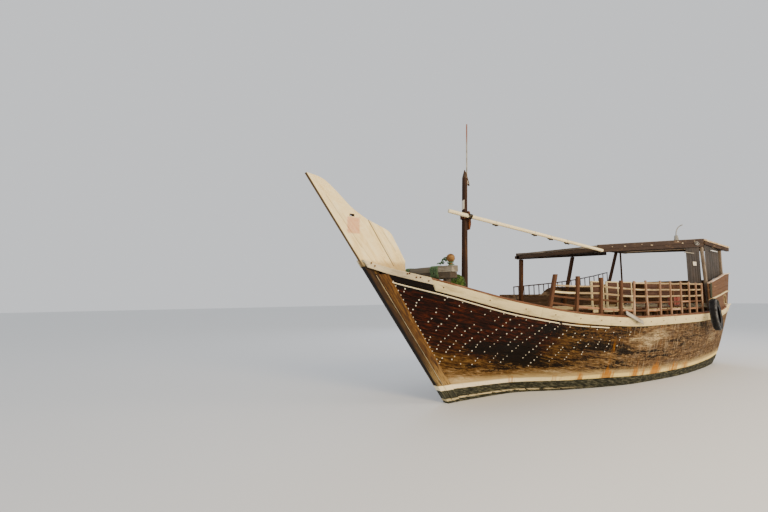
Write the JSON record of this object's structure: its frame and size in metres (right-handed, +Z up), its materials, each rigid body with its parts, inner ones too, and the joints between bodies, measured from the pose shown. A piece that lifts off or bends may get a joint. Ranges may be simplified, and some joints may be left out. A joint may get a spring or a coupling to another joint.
{
  "type": "wooden dhow, motor passenger boat",
  "caption": "Wooden dhow with a long raked stem and tall cream stemhead board, bare mast and boom, railed deck with benches under a timber canopy, rudder and propeller.",
  "frame": {"origin": "centreline, amidships, at the waterline", "axes": "+X to the bow, +Y to port, +Z up"},
  "size_m": [15.1573, 4.2432, 7.5806],
  "materials": {
    "oiled_plank": "oiled, worn",
    "worn_plank": "weathered",
    "deck_board": "bare, weathered",
    "dark_timber": "oiled, dark",
    "rail_timber": "sun-bleached orange brown",
    "cream_paint": "cream paint, chipped",
    "weathered_wood": "grey, bare",
    "curtain_cloth": "brown grey cloth",
    "cushion_cloth": "faded red cloth",
    "net": "green net",
    "tyre_rubber": "worn",
    "bronze": "dull",
    "iron": "rusted",
    "float_plastic": "faded orange"
  },
  "bodies": {
    "boat": {"hull_body": "oiled_plank", "bulwark_port": "oiled_plank", "bulwark_starboard": "oiled_plank", "washboard_starboard": "oiled_plank", "transom_board": "worn_plank", "main_deck": "deck_board", "foredeck": "deck_board", "stem_timber": "dark_timber", "keel_timber": "dark_timber", "stern_post": "dark_timber", "stern_knee": "dark_timber", "mast": "dark_timber", "canopy_roof": "dark_timber", "canopy_frame": "dark_timber", "canopy_aft_frame": "dark_timber", "canopy_post_starboard_1": "dark_timber", "canopy_post_starboard_2": "dark_timber", "canopy_post_starboard_3": "dark_timber", "canopy_post_starboard_4": "dark_timber", "railing_starboard": "dark_timber", "cap_rail_port": "rail_timber", "cap_rail_starboard": "rail_timber", "canopy_aft_roof": "rail_timber", "railing_port": "rail_timber", "quarter_panel_port": "rail_timber", "quarter_panel_starboard": "rail_timber", "stern_panel": "rail_timber", "bench_port_fore": "rail_timber", "bench_port_aft": "rail_timber", "bench_starboard": "rail_timber", "stemhead_board": "cream_paint", "bow_cap_port": "cream_paint", "bow_cap_starboard": "cream_paint", "sheer_band_port": "cream_paint", "sheer_band_starboard": "cream_paint", "transom_cap": "cream_paint", "bow_crossbeam": "weathered_wood", "canopy_post_port_1": "weathered_wood", "canopy_post_port_2": "weathered_wood", "curtain_fore": "curtain_cloth", "curtain_aft": "curtain_cloth", "cushion_1": "cushion_cloth", "cushion_2": "cushion_cloth", "net_bundle": "net", "tyre_fender": "tyre_rubber", "engine_block": "iron", "mast_pole": "iron", "roof_lamp": "iron", "bow_float": "float_plastic"},
    "rudder": {"rudder_blade": "worn_plank", "rudder_yoke": "iron"},
    "propeller_shaft": {"propeller": "bronze"},
    "boom_swivel": {"boom_collar": "dark_timber"},
    "boom_spar": {"boom": "cream_paint"}
  },
  "joints": [
    {"name": "rudder_steer", "type": "hinge", "parent": "boat", "child": "rudder", "pos_m": [-5.4253, 0, 0], "axis": [-0.4613, 0, 0.8872], "range_deg": [-35, 35]},
    {"name": "propeller_spin", "type": "hinge", "parent": "boat", "child": "propeller_shaft", "pos_m": [-4.4, 0, -0.88], "axis": [1, 0, 0], "continuous": true},
    {"name": "boom_swing", "type": "hinge", "parent": "boat", "child": "boom_swivel", "pos_m": [4.4835, 0, 4.01], "axis": [0, 0, -1], "range_deg": [0, 70]},
    {"name": "boom_topping", "type": "hinge", "parent": "boom_swivel", "child": "boom_spar", "pos_m": [4.4835, 0.156, 4.01], "axis": [0.3194, 0.9476, 0], "range_deg": [0, 35]}
  ]
}
